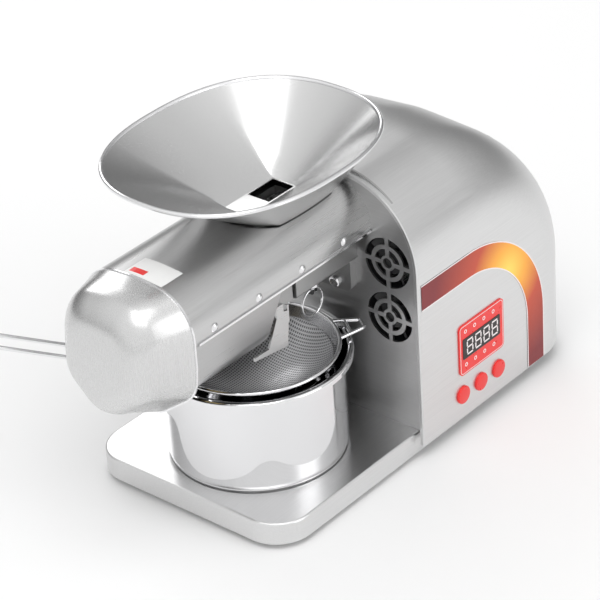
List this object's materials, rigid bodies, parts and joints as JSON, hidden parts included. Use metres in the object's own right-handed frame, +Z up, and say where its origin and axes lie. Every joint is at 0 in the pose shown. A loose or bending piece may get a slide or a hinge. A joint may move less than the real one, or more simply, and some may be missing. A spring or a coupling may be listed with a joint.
{
  "type": "screw oil press",
  "caption": "Countertop screw press for seed and nut oil, with an oval hopper, arched motor housing, lift-out strainer and a steel oil cup.",
  "frame": {"origin": "on the table, centre of the four rubber feet", "axes": "+Z up, -X along the press barrel towards its end cap, -Y towards the control side"},
  "size_m": [0.4148, 0.2126, 0.246],
  "materials": {
    "satin_steel": "satin brushed stainless sheet",
    "polished_steel": "mirror polished stainless",
    "tray_steel": "satin stainless",
    "dark_steel": "machined steel, oiled",
    "cast_steel": "machined casting",
    "aluminium": "die cast",
    "rubber": "moulded",
    "red_label": "printed film, smooth",
    "band_print": "printed film",
    "black_plastic": "moulded",
    "display_black": "dark window",
    "red_plastic": "moulded",
    "circuit_board": "solder mask",
    "brass": "turned",
    "mesh_steel": "woven wire",
    "magnet": "ferrite"
  },
  "bodies": {
    "machine": {"barrel_cover": "satin_steel", "barrel_nut": "dark_steel", "base_plate": "tray_steel", "base_tray": "tray_steel", "chute_side_far": "satin_steel", "chute_side_near": "satin_steel", "colour_band": "band_print", "control_board": "circuit_board", "control_panel": "red_label", "cover_screws": "polished_steel", "display_module": "display_black", "drip_guide": "satin_steel", "fan_frame_lower": "black_plastic", "fan_frame_upper": "black_plastic", "flange_bolts": "polished_steel", "front_plate": "satin_steel", "gear_case": "aluminium", "gear_cover": "aluminium", "heater_band": "brass", "hood": "satin_steel", "hood_brackets": "satin_steel", "hood_screws": "polished_steel", "motor_can": "dark_steel", "motor_end_bell": "aluminium", "motor_front_bearing": "dark_steel", "motor_magnets": "magnet", "pin_bush": "polished_steel", "power_inlet": "black_plastic", "press_barrel": "dark_steel", "press_block": "cast_steel", "rubber_feet": "rubber", "slot_housing": "cast_steel", "switch_frame": "black_plastic"},
    "press_drive": {"press_screw": "dark_steel", "output_shaft": "dark_steel", "output_gear": "dark_steel"},
    "middle_gear": {"middle_gear_shaft": "dark_steel"},
    "motor_rotor": {"motor_armature": "dark_steel", "motor_pinion": "dark_steel"},
    "fan_lower": {"fan_wheel_lower": "black_plastic"},
    "fan_upper": {"fan_wheel_upper": "black_plastic"},
    "button_left": {"button_1": "red_plastic"},
    "button_middle": {"button_2": "red_plastic"},
    "button_right": {"button_3": "red_plastic"},
    "rocker": {"switch_rocker": "red_plastic"},
    "pin": {"lock_pin": "polished_steel"},
    "ring": {"pull_ring": "polished_steel"},
    "hopper": {"hopper": "satin_steel"},
    "cap": {"end_cap": "satin_steel"},
    "cup": {"oil_cup": "polished_steel"},
    "strainer": {"strainer_rim": "polished_steel", "strainer_mesh": "mesh_steel", "strainer_handle": "polished_steel", "strainer_ear": "polished_steel"}
  },
  "joints": [
    {"name": "press_screw_spin", "type": "hinge", "parent": "machine", "child": "press_drive", "pos_m": [-0.05, -0.006, 0.168], "axis": [1, 0, 0], "continuous": true},
    {"name": "middle_gear_spin", "type": "hinge", "parent": "machine", "child": "middle_gear", "pos_m": [0.01, -0.006, 0.133], "axis": [1, 0, 0], "continuous": true},
    {"name": "motor_spin", "type": "hinge", "parent": "machine", "child": "motor_rotor", "pos_m": [0.07, -0.006, 0.1042], "axis": [1, 0, 0], "continuous": true},
    {"name": "fan_lower_spin", "type": "hinge", "parent": "machine", "child": "fan_lower", "pos_m": [0, -0.064, 0.1024], "axis": [1, 0, 0], "continuous": true},
    {"name": "fan_upper_spin", "type": "hinge", "parent": "machine", "child": "fan_upper", "pos_m": [0, -0.064, 0.1435], "axis": [1, 0, 0], "continuous": true},
    {"name": "button_1_press", "type": "slide", "parent": "machine", "child": "button_left", "axis": [0, 1, 0], "range_m": [0, 0.0008], "stiffness_N_per_m": 800, "springref_m": -0.001},
    {"name": "button_2_press", "type": "slide", "parent": "machine", "child": "button_middle", "axis": [0, 1, 0], "range_m": [0, 0.0008], "stiffness_N_per_m": 800, "springref_m": -0.001},
    {"name": "button_3_press", "type": "slide", "parent": "machine", "child": "button_right", "axis": [0, 1, 0], "range_m": [0, 0.0008], "stiffness_N_per_m": 800, "springref_m": -0.001},
    {"name": "rocker_tilt", "type": "hinge", "parent": "machine", "child": "rocker", "pos_m": [0.158, 0.008, 0.046], "axis": [0, 1, 0], "range_deg": [0, 12]},
    {"name": "lock_pin_pull", "type": "slide", "parent": "machine", "child": "pin", "axis": [0, 0, -1], "range_m": [0, 0.012]},
    {"name": "pull_ring_swing", "type": "hinge", "parent": "pin", "child": "ring", "pos_m": [-0.0435, -0.029, 0.1305], "axis": [1, 0, 0], "range_deg": [-35, 35]},
    {"name": "hopper_lift", "type": "slide", "parent": "machine", "child": "hopper", "axis": [0, 0, 1], "range_m": [0, 0.1]},
    {"name": "end_cap_pull", "type": "slide", "parent": "machine", "child": "cap", "axis": [-1, 0, 0], "range_m": [0, 0.09]},
    {"name": "cup_slide", "type": "slide", "parent": "machine", "child": "cup", "axis": [0, 1, 0], "range_m": [0, 0.15]},
    {"name": "strainer_lift", "type": "slide", "parent": "cup", "child": "strainer", "axis": [0, 0, 1], "range_m": [0, 0.008]}
  ],
  "couplings": [
    {"joint": "middle_gear_spin", "follows": "press_screw_spin", "ratio": -3.6667},
    {"joint": "motor_spin", "follows": "press_screw_spin", "ratio": 18.333}
  ]
}
